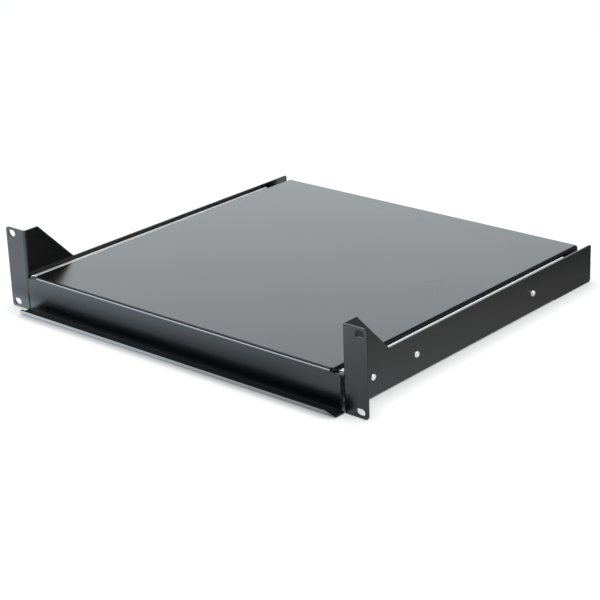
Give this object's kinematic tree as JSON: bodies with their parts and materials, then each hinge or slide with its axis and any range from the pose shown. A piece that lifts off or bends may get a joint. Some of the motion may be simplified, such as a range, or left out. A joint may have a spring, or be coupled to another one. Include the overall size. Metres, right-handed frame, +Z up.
{
  "type": "sliding rack shelf",
  "caption": "Pull-out shelf hung from two rack ears on gusseted side plates: a folded tray with a finger lip runs on ball-bearing slides above a rear tie.",
  "frame": {"origin": "centre of the four rack holes, in the plane of the ears' front faces", "axes": "+X to the right seen from the front of the rack, +Y into the rack, +Z up"},
  "size_m": [0.4826, 0.4329, 0.0882],
  "materials": {
    "black_powder_coat": "black powder coat, satin with a fine grain",
    "zinc_plated_steel": "bright zinc plate on rolled strip",
    "cage_steel": "plain plated strip",
    "bearing_steel": "polished balls",
    "zinc_screw": "bright zinc-plated screws",
    "black_nylon": "moulded, matt"
  },
  "bodies": {
    "frame": {"left_bracket": "black_powder_coat", "right_bracket": "black_powder_coat", "rear_brace": "black_powder_coat", "left_weld_beads": "black_powder_coat", "right_weld_beads": "black_powder_coat", "left_slide_outer": "zinc_plated_steel", "right_slide_outer": "zinc_plated_steel", "left_rear_bumper": "black_nylon", "right_rear_bumper": "black_nylon", "left_plate_screws": "zinc_screw", "right_plate_screws": "zinc_screw"},
    "tray": {"tray": "black_powder_coat", "left_slide_inner": "zinc_plated_steel", "right_slide_inner": "zinc_plated_steel", "left_tray_screws": "zinc_screw", "right_tray_screws": "zinc_screw"},
    "left_cage": {"left_ball_cage": "cage_steel", "left_balls": "bearing_steel"},
    "right_cage": {"right_ball_cage": "cage_steel", "right_balls": "bearing_steel"}
  },
  "joints": [
    {"name": "tray_slide", "type": "slide", "parent": "frame", "child": "tray", "axis": [0, -1, 0], "range_m": [0, 0.265]},
    {"name": "left_cage_slide", "type": "slide", "parent": "frame", "child": "left_cage", "axis": [0, -1, 0], "range_m": [0, 0.1325]},
    {"name": "right_cage_slide", "type": "slide", "parent": "frame", "child": "right_cage", "axis": [0, -1, 0], "range_m": [0, 0.1325]}
  ],
  "couplings": [
    {"joint": "left_cage_slide", "follows": "tray_slide", "ratio": 0.5},
    {"joint": "right_cage_slide", "follows": "tray_slide", "ratio": 0.5}
  ]
}
